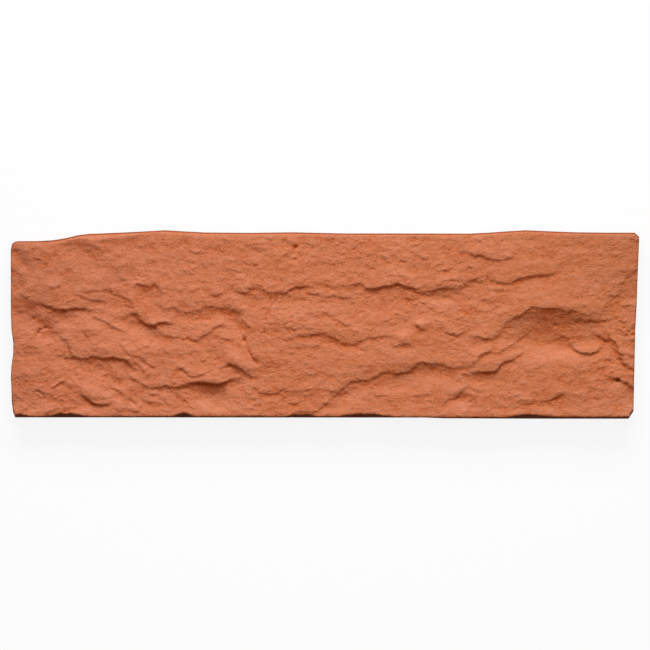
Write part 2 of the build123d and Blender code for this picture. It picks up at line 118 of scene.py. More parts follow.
# Every lip is a line of places (along %, up %, drop in mm) from left to right. The reach is how far up the
# stone the flake's top takes to sink back, the scoop how deep the stone is hollowed under the lip and how
# far down the hollow runs, the edge how wide the broken edge is, and the brow how far the top rolls over
# before it breaks off and how wide that roll is, all in mm. The skirt is the share of the drop that comes
# down in a slope under the broken edge, and how far that slope runs.
GREAT_LIPS = [
    # The left shoulder, running off the left end
    dict(reach=16, scoop=(0.4, 7), edge=1.1, brow=(1.3, 4.5), skirt=(0.5, 5.5), line=[
        (-1, 80, 0.8), (0.3, 75, 1.4), (1, 70, 2.2), (1.8, 66, 2.8), (2.6, 63.6, 2.9), (4, 61.4, 3),
        (5, 60.3, 3), (6, 59.3, 2.5), (7, 58.3, 1.6), (8, 57.8, 0.8), (9, 57.5, 0)]),
    dict(reach=14, scoop=(0.8, 6), edge=0.6, brow=(0.7, 3), skirt=(0.25, 4), line=[
        (4.2, 61, 0), (5, 60, 0.3), (5.8, 58.9, 0.8), (6.4, 58.2, 1.5), (7.2, 57.5, 2.1), (8, 57, 2.6),
        (9.2, 57.2, 2.7), (10.2, 57.6, 2.6), (11, 57.8, 2.4), (12, 57.4, 2.2), (13, 56.7, 1.6),
        (13.8, 55.6, 0.9), (15, 54, 0)]),
    # The shelf at the lower left
    dict(reach=14, scoop=(1.2, 9), edge=0.55, brow=(0.3, 2), skirt=(0.35, 3.5), line=[
        (7.3, 46.5, 0), (8.1, 44, 0.6), (8.6, 41.5, 1.1), (9.3, 39.5, 1.5), (9.7, 36.5, 1.7),
        (9.9, 34, 2), (10.4, 32.3, 2.2), (11.2, 31.2, 2.2), (12.6, 31.3, 2), (13, 32.4, 2.1),
        (13.7, 32.2, 2.3), (14.6, 31.4, 2.3), (15.3, 31, 2.3), (16.3, 31.8, 2.3), (17.2, 31.2, 2.4),
        (18.5, 30.4, 2.3), (19, 28.3, 1.8), (19.5, 26.8, 1.4), (20, 26, 0.7), (20.8, 24.5, 0)]),
    dict(reach=8, scoop=(0.8, 4), edge=0.7, brow=(0.3, 2), line=[
        (9.8, 17.5, 0), (10.8, 14, 0.3), (11.5, 12.3, 0.7), (12, 11, 1.4), (12.5, 9.8, 1.7),
        (13, 8.5, 1.8), (13.5, 7.5, 1.8), (14.3, 7, 1.5), (15.8, 8, 0.8), (17, 9, 0)]),
    # The nub and the curl right of the shoulder
    dict(reach=7, scoop=(0.4, 3), edge=0.7, brow=(0.3, 2), line=[
        (17.6, 74, 0), (19, 72, 0.6), (19.8, 70.7, 1.1), (21.2, 70.2, 1.3), (22.1, 69, 1.6),
        (22.6, 70, 1.7), (23.1, 70.7, 1.7), (23.4, 70, 1.7), (23.7, 68.5, 1.5), (24, 66.8, 1.2),
        (24.3, 63, 0.6), (24.6, 60, 0)]),
    dict(reach=7, scoop=(0.8, 5), edge=0.6, brow=(0.5, 2.5), line=[
        (17.4, 52.5, 0), (18.5, 54, 0.7), (19.3, 54.8, 1.1), (20.2, 55, 1.4), (20.7, 53, 1.5),
        (21, 51, 1.8), (21.5, 49.7, 1.9), (22, 48.9, 2.1), (22.6, 48.6, 2.1), (23.3, 49.3, 2.1),
        (24, 50.2, 2.4), (24.9, 50.4, 2.6), (25.5, 49.6, 1.9), (26.2, 48.5, 0)]),
    dict(reach=8, scoop=(0.3, 4), edge=0.45, brow=(0.2, 1.5), line=[
        (22.8, 50.5, 0), (23.2, 48, 0.6), (23.7, 46, 0.8), (24.3, 44.5, 0.9), (24.8, 43.3, 0.9),
        (25.5, 43.3, 1), (26.2, 42.3, 1.1), (27, 43, 1), (27.7, 41.7, 0.8), (28.3, 42.7, 0.8),
        (29, 41, 1), (30, 41.3, 1.3), (30.5, 43, 1.2), (31.2, 43.8, 1.1), (31.8, 45.5, 1),
        (32.4, 47, 0.8), (33, 48.3, 0.6), (34.5, 49.5, 0)]),
    # The brow over the deep hollow at the lower left
    dict(reach=12, scoop=(1.6, 9), edge=0.6, brow=(0.5, 2.5), skirt=(0.25, 3), line=[
        (18.4, 25.5, 0), (19, 23.5, 0.5), (19.2, 21.5, 0.9), (19.7, 20.3, 1.1), (20.3, 19.1, 1.2),
        (21, 17.8, 1.2), (22, 16.5, 1.4), (22.5, 15.8, 1.5), (23.3, 16.2, 1.6), (24, 15.9, 1.7),
        (24.7, 16.9, 1.7), (25.3, 16.2, 1.7), (26, 16, 1.4), (27, 16.8, 1.5), (28.3, 17.8, 1.9),
        (29, 18.6, 2.2), (30, 18.8, 2.7), (31, 18.4, 3), (32, 18, 3.3), (33, 17.8, 3.5),
        (33.7, 18.3, 3.5), (34.3, 19.2, 3), (35, 20.2, 1.6), (36, 21, 0)]),
    dict(reach=6, scoop=(0.3, 3), edge=0.5, brow=(0.2, 1.5), line=[
        (25.5, 21.5, 0), (25.8, 23, 0.6), (26.1, 24, 0.8), (26.5, 27, 1.1), (27, 26, 1.3),
        (27.7, 26, 1.3), (28, 24.5, 1.3), (28.4, 23, 1.3), (28.8, 22, 1.2), (29.5, 21.8, 1.1),
        (30.2, 23, 1), (31, 23.3, 0.8), (31.6, 24.5, 0.6), (32.5, 26, 0)]),
    dict(reach=6, scoop=(0.5, 4), edge=0.8, brow=(0.1, 2), line=[
        (34, 17.5, 0), (34.2, 15, 0.8), (34.4, 11, 1), (34.1, 6.5, 0.9), (34, 3, 0)]),
    dict(reach=9, scoop=(1, 5), edge=0.7, brow=(0.4, 2.5), line=[
        (32.4, 25.5, 0), (33.2, 26.2, 0.8), (34, 26.8, 1.4), (34.5, 28, 1.7), (35, 28.5, 2),
        (35.7, 27.5, 2.1), (36.3, 26.5, 1.8), (37, 25, 1.8), (37.5, 23.5, 1.8), (38, 22.3, 1.5),
        (38.6, 21.5, 1.1), (39.2, 21.8, 0.6), (39.9, 23, 0)]),
    # The upper middle: a chain of lips from the left part to the right part
    dict(reach=10, scoop=(0.4, 4), edge=0.45, brow=(0.3, 2), line=[
        (34.6, 69.5, 0), (35.3, 68.3, 0.6), (35.9, 67, 1), (36.8, 66.1, 1.1), (37.6, 66.3, 1.1),
        (38.2, 67.5, 0.6), (39, 68.2, 0.3), (39.9, 68.4, 0.3), (40.6, 66.8, 0.8), (41.3, 65.5, 1.1),
        (41.8, 66.2, 0.6), (42.5, 66.1, 0.8), (43.2, 65.9, 1.3), (43.8, 65.8, 1.5), (44.2, 66.8, 1.5),
        (44.7, 68, 1.6), (45.4, 68.7, 1.6), (46.2, 69, 1.5), (47, 69.2, 1.3), (47.7, 69, 0.9),
        (48.6, 68.7, 0)]),
    dict(reach=10, scoop=(1, 7), edge=1, brow=(0.7, 4), skirt=(0.4, 3), line=[
        (25.7, 60.5, 0), (26.5, 58, 0.8), (27.3, 56.8, 1.3), (28.2, 55.8, 1.8), (29, 55.6, 1.9),
        (30, 57, 1.6), (31, 58.6, 1.5), (32, 59, 1.7), (33, 58.6, 2), (34, 58, 2.2), (35, 57.5, 2.2),
        (36.2, 56.3, 2), (36.8, 55, 1.7), (37.2, 53.8, 1.1), (37.6, 52, 0)]),
    dict(reach=5, scoop=(0.2, 3), edge=0.5, brow=(0.2, 1.5), line=[
        (36.6, 54, 0), (36.8, 52, 0.7), (37.3, 50.5, 0.8), (37.8, 48.5, 0.9), (38.3, 47.5, 0.8),
        (39, 48, 0.5), (39.8, 48.5, 0)]),
    dict(reach=5, scoop=(0.2, 3), edge=0.5, brow=(0.2, 1.5), line=[
        (46.8, 68, 0), (47.3, 66.5, 0.8), (47.8, 65.5, 1), (48.5, 65.2, 1.1), (49.3, 64.8, 0.9),
        (50.5, 63.8, 0.6), (51.3, 64.2, 0.7), (52.3, 63.8, 1), (53.3, 63.3, 1.1), (54, 63.8, 0.7),
        (54.7, 64.5, 0)]),
    dict(reach=6, scoop=(0.2, 3), edge=0.5, brow=(0.2, 1.5), line=[
        (48.4, 72, 0), (49, 71.5, 0.5), (49.5, 70.3, 0.6), (50.3, 70, 0.7), (51, 69.3, 0.7),
        (51.7, 69, 0.7), (53, 69.3, 0.7), (54, 70, 0.7), (55.5, 71, 0.4), (56, 72, 0)]),
    dict(reach=10, scoop=(0.9, 6), edge=0.7, brow=(0.4, 2), line=[
        (55.5, 73.5, 0), (55.8, 71.8, 0.8), (56.1, 70, 1.4), (56.5, 68.3, 1.9), (58, 68.4, 2.2),
        (58.8, 68.8, 2.2), (59.5, 69.8, 2.2), (60.2, 69.5, 2.2), (61.2, 70.8, 2.2), (61.8, 70.7, 2.2),
        (62.3, 69.5, 2.2), (63, 69.2, 2.1), (64.3, 68, 1.7), (64.7, 68.3, 1.1), (65.3, 69.5, 0)]),
    dict(reach=12, scoop=(1.4, 9), edge=0.9, brow=(0.5, 3), line=[
        (64, 67, 0), (64.7, 66.3, 0.6), (65.3, 66.8, 1.3), (66.8, 66.8, 2), (67.5, 67.6, 2.1),
        (68.5, 68.3, 2.1), (70, 68.3, 1.5), (71, 68, 1.4), (71.7, 69, 1.2), (72.3, 71, 1.3),
        (73.3, 72.4, 1.6), (73.9, 73, 1.6), (74.3, 72.2, 1.5), (75, 71.3, 1.4), (75.3, 72.8, 1.2),
        (75.9, 74, 1.1), (76.3, 73, 1.4), (77, 72.2, 1.6), (77.7, 71.2, 1.8), (79.3, 71.2, 1.9),
        (79.9, 72.5, 1.9), (81.3, 74, 1.9), (83, 75.1, 2.1), (85, 75.2, 2.1), (85.8, 75.9, 1.9),
        (86.5, 76.8, 1.4), (87, 78.2, 0.6), (87.3, 79.5, 0)]),
    dict(reach=7, scoop=(0.4, 4), edge=0.5, brow=(0.3, 2), line=[
        (72.7, 87.2, 0), (73.1, 86.5, 0.5), (73.5, 86.1, 1), (73.9, 85.6, 1.1), (74.5, 86, 1.1),
        (75, 85.6, 1.1), (75.4, 84.5, 1.2), (76, 84, 1.3), (76.8, 83.3, 1.2), (78, 83.4, 1.1),
        (79, 84.3, 0.8), (79.5, 85.6, 0.5), (80, 87, 0)]),
    # The great ledge over the hollow at the right
    dict(reach=14, scoop=(1.6, 14), edge=0.8, brow=(0.8, 4), skirt=(0.5, 6), line=[
        (76.2, 40, 0), (76.7, 41.5, 1), (77.2, 43.3, 1.4), (77.7, 45, 1.7), (78.1, 47, 1.9),
        (78.5, 49.5, 2.1), (79.3, 51.5, 2.2), (80.2, 53, 2.4), (81, 54.5, 2.7), (82, 57, 2.9),
        (82.6, 58.3, 3), (83.3, 58.5, 3.1), (83.8, 57.8, 3.1), (86.5, 58, 3), (87.3, 57.5, 2.8),
        (88.3, 56.3, 2.5), (88.9, 56.7, 2.4), (90, 56, 2.1), (90.5, 55, 2), (91.3, 54.5, 1.8),
        (92.5, 54.3, 1.4), (93.3, 55.5, 1.1), (94.2, 57, 0.8), (94.6, 58.5, 0.6), (95.1, 63, 0.3),
        (95.6, 66, 0)]),
    dict(reach=9, scoop=(0.2, 5), edge=2.5, brow=(0.8, 4), skirt=(0.6, 5), line=[
        (78, 46.5, 0), (79.6, 51, 1.3), (81.6, 55, 2.1), (84, 56.4, 2.3), (86.5, 56.4, 2.1),
        (88.5, 55.2, 2), (90.5, 54, 1.8), (92.5, 53.6, 1.3), (94, 54.2, 0.7), (95, 55, 0)]),
    dict(reach=6, scoop=(0.3, 3), edge=0.6, brow=(0.2, 1.5), line=[
        (88.5, 53, 0), (89.5, 52.2, 0.6), (90.5, 51.5, 0.9), (92, 51, 1.1), (94, 51.5, 1.1),
        (95, 52.2, 0.6), (95.6, 53, 0)]),
    # The middle and the long ledge that climbs through the lower middle
    dict(reach=10, scoop=(0.6, 5), edge=0.7, brow=(0.4, 2.5), line=[
        (42.4, 43.5, 0), (43.2, 42.6, 0.5), (44.5, 42, 0.8), (45.5, 42.5, 1), (46.6, 43.5, 1.1),
        (47.5, 43.8, 1.2), (48.3, 44, 1.3), (49, 44.1, 1.3), (50, 43.6, 1.3), (51.3, 42.5, 1.4),
        (52.2, 40.8, 1.3), (52.8, 39.8, 0.9), (53.5, 39, 0.8), (54.1, 38.2, 1), (54.6, 38.6, 1),
        (55.2, 40, 0.8), (56, 41, 0)]),
    dict(reach=5, scoop=(0.2, 3), edge=0.5, brow=(0.2, 1.5), line=[
        (54.6, 41, 0), (55.2, 41, 0.6), (56.2, 41.3, 0.9), (57, 42.2, 0.8), (58, 42.2, 0.7),
        (59, 42.7, 0.7), (60.3, 43, 0.4), (61.3, 43.5, 0)]),
    dict(reach=14, scoop=(1.5, 9), edge=0.6, brow=(0.3, 2.2), skirt=(0.4, 3.5), line=[
        (49, 4, 0), (49.8, 7.3, 0.9), (50.4, 8.6, 1.1), (51, 10.3, 1.1), (51.7, 12, 1.2),
        (52.2, 14.2, 1.4), (52.8, 15.5, 1.5), (53.3, 17, 1.6), (54, 19, 1.7), (54.4, 19.4, 1.8),
        (55, 19, 1.8), (55.5, 19.7, 1.8), (57, 20, 1.4), (57.5, 21, 1.4), (58, 21.4, 1.5),
        (58.5, 22.8, 1.6), (59.3, 23.9, 1.7), (60.2, 23.7, 1.6), (61.2, 23.2, 1.6), (62, 23.6, 1.7),
        (63.2, 24.6, 1.7), (64, 26.5, 1.9), (64.6, 28.6, 2.1), (65, 29.5, 2.2), (65.7, 29.2, 2.2),
        (67.3, 28.4, 2), (68.3, 28.7, 1.8), (69, 27.4, 1.8), (70.3, 26.2, 1.5), (71, 26.5, 1.2),
        (73, 26.8, 0.9), (74.3, 27.5, 0)]),
    dict(reach=6, scoop=(0.2, 3), edge=0.5, brow=(0.2, 1.5), line=[
        (49.7, 16.5, 0), (50.3, 15.5, 0.6), (50.8, 14.5, 1), (51.5, 13.8, 1), (52.4, 13, 0.6),
        (53, 12.5, 0)]),
    dict(reach=9, scoop=(0.8, 6), edge=0.7, brow=(0.6, 3), line=[
        (72.2, 25.5, 0), (73, 24.3, 1), (73.5, 23.7, 1.5), (74.2, 24.3, 2), (75.5, 24, 2.2),
        (76.3, 24.3, 2.4), (77, 25, 2.4), (77.4, 26.7, 2.3), (77.8, 28.3, 2.2), (78.3, 29.7, 2.1),
        (79, 30, 2.1), (79.7, 30.8, 1.8), (80.9, 33.3, 1.1), (81.3, 34.3, 0.7), (82, 36, 0)]),
    dict(reach=5, scoop=(0.3, 3), edge=0.6, brow=(0.2, 1.5), line=[
        (72.6, 27.5, 0), (73.2, 28.7, 0.6), (73.8, 29.5, 0.9), (74.2, 31, 1.1), (74.4, 33, 1.3),
        (75.5, 34.3, 1.4), (76, 35.3, 1.3), (76.6, 37.8, 0.7), (77, 39, 0)]),
    dict(reach=5, scoop=(0.2, 3), edge=0.6, brow=(0.2, 1.5), line=[
        (75.4, 34.3, 0), (76, 34.7, 0.6), (77, 34.3, 0.9), (77.8, 35, 1), (79, 37.3, 1), (80, 39.5, 1),
        (81.2, 42.5, 0.9), (82, 43.7, 0.6), (83, 44, 0)]),
    dict(reach=7, scoop=(0.4, 4), edge=0.6, brow=(0.3, 2), line=[
        (67.5, 9.8, 0), (68.2, 8.2, 0.8), (68.8, 8, 0.9), (69.3, 9.6, 1.1), (70, 10.4, 1.3),
        (70.9, 10.8, 1.4), (71.3, 13.2, 1.3), (71.7, 14.8, 1.3), (72.5, 16.6, 0.9), (73.1, 18, 0)]),
    dict(reach=4, scoop=(0.3, 2.5), edge=0.6, brow=(0.2, 1.5), line=[
        (68.6, 46.6, 0), (69.2, 45.3, 0.9), (70, 44.6, 1.4), (70.8, 44.1, 1.6), (71.5, 44.3, 1.5),
        (72, 45.3, 1.1), (72.7, 46.5, 0)]),
    dict(reach=5, scoop=(0.2, 3), edge=0.6, brow=(0.2, 1.5), line=[
        (72.8, 43.6, 0), (73.6, 42.8, 1), (74.4, 42.8, 1.4), (75.2, 42, 1.5), (76, 41.7, 1.4),
        (76.7, 41.5, 0.8), (77.3, 41.5, 0)]),
    # The bank along the top edge, left of the middle
    dict(reach=2.2, scoop=(0, 1), edge=4, brow=(0.2, 1), line=[
        (7, 91, 0), (8.5, 92.5, 0.5), (10, 93.8, 1.1), (11.5, 94.3, 1.6), (13, 94, 1.8), (14.5, 94, 1.4),
        (16, 94.5, 1), (18, 95.2, 0.8), (20, 96, 0.3), (21.5, 96.5, 0)]),
    # The right end: the slanting lip, the oval boss and the lips that run off the end
    dict(reach=9, scoop=(0.4, 6), edge=1.8, brow=(1.2, 4), skirt=(0.35, 4.5), line=[
        (93.3, 57, 0), (94, 59.5, 1.1), (94.8, 61.8, 2), (95.8, 63.8, 2.5), (96.6, 67.5, 2),
        (97.3, 72.5, 1.9), (98, 76.3, 2.1), (98.8, 79.5, 1.9), (100.5, 84, 1.4)]),
    dict(reach=6, scoop=(0.4, 4), edge=0.6, brow=(0.3, 2), line=[
        (88, 42, 0), (88.6, 40, 0.7), (89.2, 38, 1.2), (89.8, 35.7, 1.8), (90.3, 34.7, 2.1),
        (91.3, 34.2, 2.2), (92, 34.2, 2), (92.8, 35, 1.5), (93.5, 36.7, 0.8), (94, 38, 0)]),
    dict(reach=7, scoop=(0.5, 4), edge=0.6, brow=(0.3, 2), line=[
        (92.2, 45.5, 0), (93, 43.8, 0.6), (93.9, 42.5, 0.9), (94.3, 41, 1.2), (94.7, 40.8, 1.3),
        (95, 42, 1.3), (96, 39.8, 1.4), (96.3, 37.5, 1.4), (96.6, 35.5, 1.4), (96.5, 33.5, 1.4),
        (97, 31, 1.4), (97.2, 29, 1.4), (97.6, 27.7, 1.4), (98.2, 26.7, 1.3), (99.3, 25.2, 1.1),
        (101, 23, 0.8)]),
    dict(reach=6, scoop=(0.6, 5), edge=0.6, brow=(0.3, 2), line=[
        (94.2, 23.3, 0), (95, 22.2, 0.8), (95.5, 20.9, 1.3), (96.6, 20.3, 1.8), (97, 19, 1.9),
        (97.7, 18.6, 1.9), (98.2, 17.1, 1.9), (98.8, 15, 1.6), (100.5, 11.8, 1.2)]),
    dict(reach=8, scoop=(0.3, 4), edge=0.7, brow=(0.2, 2), line=[
        (77.5, 5.5, 0), (78.3, 6, 0.3), (79, 6.3, 0.5), (79.7, 7.7, 0.6), (80.3, 8.5, 0.7),
        (81, 9.4, 0.7), (83, 9, 0.7), (85, 8.7, 0.9), (85.7, 9.5, 1.1), (86.3, 10.7, 1.1), (87, 11.5, 1),
        (88, 13, 0.5), (88.6, 14.5, 0)]),
]

# Smaller lips: (drop in mm, reach in mm, the line). They fade out at both ends.
SMALL_LIPS = [
    # Left end
    (0.7, 5, [(0.5, 12), (1, 10.5), (1.8, 9)]),
    (0.8, 5, [(4, 15.5), (4.5, 15.3), (5.3, 13), (6, 10.3)]),
    (0.9, 5, [(7, 16), (7.8, 18), (8.5, 19.5), (9.5, 20.8)]),
    (0.6, 4, [(7, 4.5), (9, 5.3), (10.5, 5.5)]),
    (0.8, 5, [(11.7, 46), (12.5, 43), (13.2, 40), (13.6, 38.5)]),
    (0.9, 6, [(13.5, 53), (14.5, 51.5), (15.5, 50), (17, 47.5), (17.7, 46), (18.3, 45)]),
    (0.8, 4, [(12.3, 66.3), (13.2, 67.2), (14.3, 67), (15.5, 68)]),
    (0.8, 5, [(10.5, 65.5), (11.3, 64.5), (12.3, 63), (13.2, 62.3), (14.7, 61.8)]),
    (1.0, 6, [(16.2, 68.5), (16.5, 65.5), (17.3, 64.8), (18, 63.8), (18.7, 63), (19.6, 61)]),
    (0.9, 4, [(18.5, 59.5), (19.2, 58.8), (19.8, 58.8)]),
    (0.5, 4, [(6, 69.5), (7, 68.3)]),
    (0.7, 3, [(4.2, 84), (5, 83.5), (5.5, 82.8), (5.8, 81.5)]),
    (0.6, 3, [(1.6, 56), (2.3, 55.3), (2.8, 55.6)]),
    (0.4, 3, [(3.3, 55), (3.8, 53.5), (4.5, 52.6)]),
    (1.0, 3, [(13, 8.2), (13.8, 7.4), (14.8, 7), (15.8, 7.2)]),
    (0.7, 3, [(4, 14), (4.6, 15.2), (5.2, 14), (6, 12.6), (6.8, 12.2)]),
    (0.5, 3, [(9.2, 17.2), (9.8, 15.3), (10.4, 13.8)]),
    (0.7, 3, [(7.2, 10.5), (7.9, 9.4), (8.6, 9.6)]),
    (0.6, 3, [(21.4, 9.4), (22.2, 8.2), (23, 8.3), (23.7, 7)]),
    (0.8, 3, [(24, 10.4), (24.7, 9.2), (25.2, 7.2), (25.9, 6.8)]),
    (0.8, 3, [(19, 4.4), (19.8, 3.4), (20.6, 3.6)]),
    (0.8, 3, [(22, 13), (22.8, 12.2), (23.5, 12.6)]),
    (0.7, 3, [(24.2, 4.2), (25, 3.4), (25.7, 3.2)]),
    (0.7, 3, [(17, 4.6), (17.7, 3.4)]),
    (0.9, 3, [(7.7, 33.5), (8.5, 32), (9.3, 31.6), (10, 32)]),
    (0.7, 3, [(3, 38), (3.6, 37), (4.4, 37.3)]),
    (1.0, 6, [(18, 38), (18.3, 36), (18.7, 34.5), (19.3, 33), (20, 32.5), (20.8, 32), (21.4, 29.7),
              (22, 28.5), (22.8, 27)]),
    (0.9, 4, [(20, 29), (20.5, 28), (21, 26.5), (21.4, 24.5), (21.7, 22.5), (22.5, 23)]),
    (0.9, 6, [(15.2, 17.5), (16, 16), (16.7, 14.8), (17.3, 13), (18, 11.5), (18.7, 9.5)]),
    (0.8, 5, [(26, 14), (26.6, 12.7), (27.2, 11.2), (27.8, 9.7), (28.8, 6)]),
    # Left of the middle
    (0.8, 5, [(24, 60), (24.3, 58.3), (24.9, 57.3), (25.7, 58.3), (26.5, 58)]),
    (0.5, 4, [(28.8, 53.5), (30, 52.8), (31, 52.8)]),
    (0.7, 4, [(31.4, 64), (32, 64.5), (32.8, 64.3), (33.5, 65.5)]),
    (0.5, 3, [(30, 61), (31, 61.5)]),
    (0.7, 4, [(30, 29), (30.8, 30), (31.4, 32)]),
    (0.5, 3, [(31.5, 28.5), (32.5, 28.5)]),
    (1.0, 3, [(33.6, 42.3), (34.2, 41.5), (34.8, 41.2)]),
    (0.8, 3, [(28.8, 88.3), (29.5, 87.3), (30.3, 88), (30.7, 87)]),
    (0.6, 4, [(36.4, 93.5), (36.8, 92.6), (37.4, 91.6), (38.2, 91.2), (39, 91.6), (39.8, 92)]),
    (0.6, 3, [(33, 95), (33.6, 94.2), (34.4, 94)]),
    (0.6, 3, [(40.8, 95), (41.3, 94), (42, 94.6)]),
    (0.8, 3, [(43.4, 93.4), (44, 93.8), (44.4, 94.3)]),
    (0.7, 3, [(46.8, 92.3), (47.5, 91.6), (48.2, 91)]),
    (0.6, 3, [(39, 89), (39.7, 89.7), (40, 90.5)]),
    (0.6, 3, [(34, 83.5), (34.6, 82.8), (35.2, 82)]),
    (0.6, 3, [(34.4, 79.5), (35, 78.8), (35.6, 77.8)]),
    (0.5, 3, [(36, 73.5), (36.5, 73.2), (37.2, 73.7)]),
    (0.5, 3, [(45.2, 72.3), (45.6, 71.8), (46.3, 71.5)]),
    (0.9, 4, [(37.2, 16), (37.4, 13.5), (37.9, 12)]),
    (0.5, 3, [(38.3, 10), (39.1, 10)]),
    (0.8, 4, [(38, 17), (38.7, 15.8), (39.5, 15.5)]),
    (0.9, 5, [(39.7, 13.6), (40.5, 12.8), (41.5, 12.4), (42.4, 12.8), (43, 14.6), (43.5, 15.8)]),
    (0.5, 4, [(43.8, 15.2), (44.4, 14), (45, 13.2)]),
    (0.6, 4, [(45.2, 14.5), (46, 14), (47.5, 15), (48.3, 15.5)]),
    (0.7, 3, [(44, 9), (44.3, 7.5), (45, 7.3), (45.7, 8)]),
    (0.9, 4, [(46, 3.5), (47, 3), (48, 3), (49, 4), (49.5, 6.5), (50, 7.5), (50.5, 8)]),
    # The middle
    (0.6, 4, [(46.3, 39), (47, 38.3), (48, 37.5), (49, 38.5)]),
    (0.5, 3, [(48, 57), (48.8, 56.8)]),
    (0.5, 3, [(46, 53), (46.5, 53.5)]),
    (0.7, 4, [(51, 53), (52, 51.5), (52.7, 50.5)]),
    (1.0, 3, [(52.7, 50.3), (53.3, 49.2), (54.1, 48.8)]),
    (0.6, 4, [(60.2, 75.6), (60.8, 74.9), (61.5, 75.4), (62.4, 74.4), (63, 74)]),
    (0.8, 4, [(55.6, 37), (56, 35.8)]),
    (0.8, 4, [(53.2, 13.5), (54, 13), (54.5, 11.8), (54.9, 11)]),
    (0.7, 4, [(58.2, 11.3), (59, 11.5), (60, 11.8)]),
    (0.6, 4, [(64.4, 12), (65.3, 12), (66.5, 12.5)]),
    (0.6, 3, [(66.5, 9), (67, 8.8)]),
    (0.7, 3, [(61, 37.3), (61.6, 38.2), (62.2, 39), (63, 38.8), (63.8, 37.8)]),
    (1.1, 3, [(64.4, 49.8), (64.7, 48.3), (65.2, 47.2), (65.8, 46.4)]),
    (0.8, 4, [(65.2, 60.7), (65.7, 60.2), (65.9, 59), (66.5, 58), (66.8, 57.3)]),
    (0.6, 3, [(67.1, 55), (67.3, 53.5)]),
    (0.6, 3, [(67.5, 51.5), (68.3, 50.5)]),
    (0.6, 3, [(63, 63), (64, 62.5), (65, 63)]),
    (0.9, 3, [(64.7, 66), (66.3, 65), (67, 65)]),
    (0.7, 4, [(68, 77.5), (69.5, 78.3)]),
    (0.4, 4, [(71.5, 78.5), (72, 79.3), (73, 80)]),
    (0.8, 3, [(68.5, 72), (69.3, 72.6), (70, 72.8), (71, 72.4)]),
    (0.8, 4, [(64, 87.5), (64.3, 86), (64.9, 85.3), (65.3, 84.5), (65.9, 84)]),
    (0.7, 4, [(62.2, 83.5), (62.8, 82.3), (63.4, 81.5)]),
    # The right part
    (0.7, 5, [(73, 59.5), (73.8, 57.7), (74.5, 56.3), (75, 56.2), (76, 56.7), (77.2, 58.3)]),
    (0.8, 4, [(75, 62.5), (75.8, 62), (76.3, 63), (77, 64)]),
    (0.8, 4, [(78.5, 86), (79, 84.5), (79.5, 84)]),
    (0.6, 3, [(79.3, 87.8), (80.2, 86.8)]),
    (0.7, 3, [(71.8, 23.5), (72.3, 23), (72.8, 22.3)]),
    (0.6, 3, [(71.2, 20), (71.7, 21.3)]),
    (0.7, 3, [(72.5, 8.7), (73, 9), (73.7, 10.8)]),
    (0.7, 3, [(73.3, 15.3), (74, 14.3), (74.7, 13.5)]),
    (0.6, 3, [(81.3, 7.3), (82.4, 7.5)]),
    (0.3, 4, [(83.5, 56), (85, 53.3)]),
    (0.3, 4, [(84, 53), (85.3, 51.5)]),
    (0.9, 4, [(97.2, 59), (98, 59.5), (99, 58.5), (99.5, 58.3)]),
    (0.6, 3, [(94.9, 65), (95.6, 64.3), (96.4, 65)]),
    (0.7, 4, [(96.7, 46.5), (97.2, 45), (97.8, 44)]),
    (0.4, 3, [(95.2, 86), (96, 84.8), (96.8, 84.6)]),
    (0.4, 3, [(93.2, 81.5), (94, 80.5), (94.8, 80.8)]),
    (0.8, 3, [(87.5, 43.6), (88.1, 42.6), (88.7, 41.5)]),
    (0.6, 3, [(27.2, 25.5), (28, 24.2), (28.6, 24.6)]),
    (0.5, 3, [(30.4, 30.3), (31, 29.6), (31.7, 30)]),
    (0.6, 3, [(33.2, 49.4), (34, 48.4), (34.8, 48.6)]),
    (0.7, 4, [(97.8, 34.3), (98.3, 33), (99, 32)]),
]

# Valleys and cracks with no lip, and ribs where the depth is less than nothing:
# (depth in mm, half width in mm, the line)
VALLEYS = [
    (0.9, 3.2, [(1, 87), (2, 81.5), (3, 78.5), (4, 76.5)]),
    (1.1, 0.8, [(37.2, 41.8), (37.6, 38), (38, 34), (38.5, 31), (39.2, 28.5)]),
    (0.6, 0.6, [(42.4, 63), (42.1, 61.5), (41.6, 59)]),
    (0.5, 0.6, [(41.4, 58), (41.1, 56), (40.8, 54)]),
    (0.6, 0.6, [(15.4, 17.7), (17, 14), (18.7, 10), (20, 7)]),
    (-0.6, 0.8, [(6.9, 16.2), (7.5, 18), (8.2, 19.3), (9, 19.3), (9.6, 18.2)]),
    (0.6, 0.7, [(0.8, 11.5), (1.3, 10), (2, 9.2)]),
    (0.4, 0.6, [(65.2, 60.6), (65.9, 59), (66.6, 57.5), (67.2, 55.5), (67.4, 53.5)]),
    (1.0, 4, [(0.5, 77), (1.2, 72), (1.7, 68)]),
    (0.7, 3, [(18.5, 79), (19.3, 74.5), (19.8, 72)]),
    (0.5, 3, [(59.5, 21), (61, 20.3), (62.5, 20.8), (63.7, 23)]),
    (0.8, 3, [(14, 26), (15, 24.5), (15.5, 22.5), (16.3, 19), (17.5, 17.5)]),
    (-0.7, 4.5, [(-1, 0.6), (30, 0.6), (60, 0.4), (101, 0.3)]),
]

